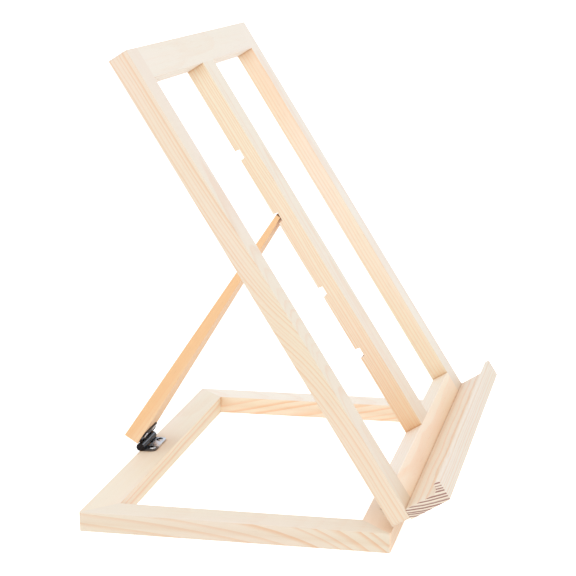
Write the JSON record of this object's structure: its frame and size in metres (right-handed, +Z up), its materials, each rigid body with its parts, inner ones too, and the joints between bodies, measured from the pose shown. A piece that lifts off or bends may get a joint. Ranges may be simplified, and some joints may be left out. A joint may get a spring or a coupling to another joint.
{
  "type": "book display stand",
  "caption": "Folding wooden book stand: mitred base frame, hinged open backrest with a lipped ledge, notched centre bar and tapered prop strut.",
  "frame": {"origin": "middle of the underside of the base's front rail, on the table", "axes": "+X to the reader's right, +Y from the reader towards the rear of the base, +Z up"},
  "size_m": [0.24, 0.2045, 0.2516],
  "materials": {
    "pine_frame": "bare sanded pine, pale, with straight and cathedral grain",
    "pine_ledge": "bare sanded pine moulding, ringed end grain",
    "pine_strut": "bare sanded pine, warmer heartwood",
    "beech_dowel": "plain turned dowel",
    "nickel_hinge": "bright nickel plate",
    "steel_fastener": "zinc-plated steel"
  },
  "bodies": {
    "base": {"base_left_rail": "pine_frame", "base_right_rail": "pine_frame", "base_front_rail": "pine_frame", "base_rear_rail": "pine_frame", "base_corner_nails": "steel_fastener", "left_hinge_base_leaf": "nickel_hinge", "left_hinge_pin": "steel_fastener", "left_hinge_base_screws": "steel_fastener", "right_hinge_base_leaf": "nickel_hinge", "right_hinge_pin": "steel_fastener", "right_hinge_base_screws": "steel_fastener", "prop_hinge_base_leaf": "nickel_hinge", "prop_hinge_pin": "steel_fastener", "prop_hinge_base_screws": "steel_fastener"},
    "backrest": {"back_left_stile": "pine_frame", "back_right_stile": "pine_frame", "back_top_rail": "pine_frame", "back_bottom_rail": "pine_frame", "back_centre_bar": "pine_frame", "back_dowels": "beech_dowel", "book_ledge": "pine_ledge", "ledge_brads": "steel_fastener", "left_hinge_back_leaf": "nickel_hinge", "left_hinge_back_screws": "steel_fastener", "right_hinge_back_leaf": "nickel_hinge", "right_hinge_back_screws": "steel_fastener"},
    "prop": {"prop_strut": "pine_strut", "prop_hinge_strut_leaf": "nickel_hinge", "prop_hinge_strut_screws": "steel_fastener"}
  },
  "joints": [
    {"name": "backrest_hinge", "type": "hinge", "parent": "base", "child": "backrest", "pos_m": [0, -0.00705, 0.0128], "axis": [1, 0, 0], "range_deg": [0, 46]},
    {"name": "prop_hinge", "type": "hinge", "parent": "base", "child": "prop", "pos_m": [-0.003, 0.15675, 0.0128], "axis": [-1, 0, 0], "range_deg": [0, 122]}
  ]
}
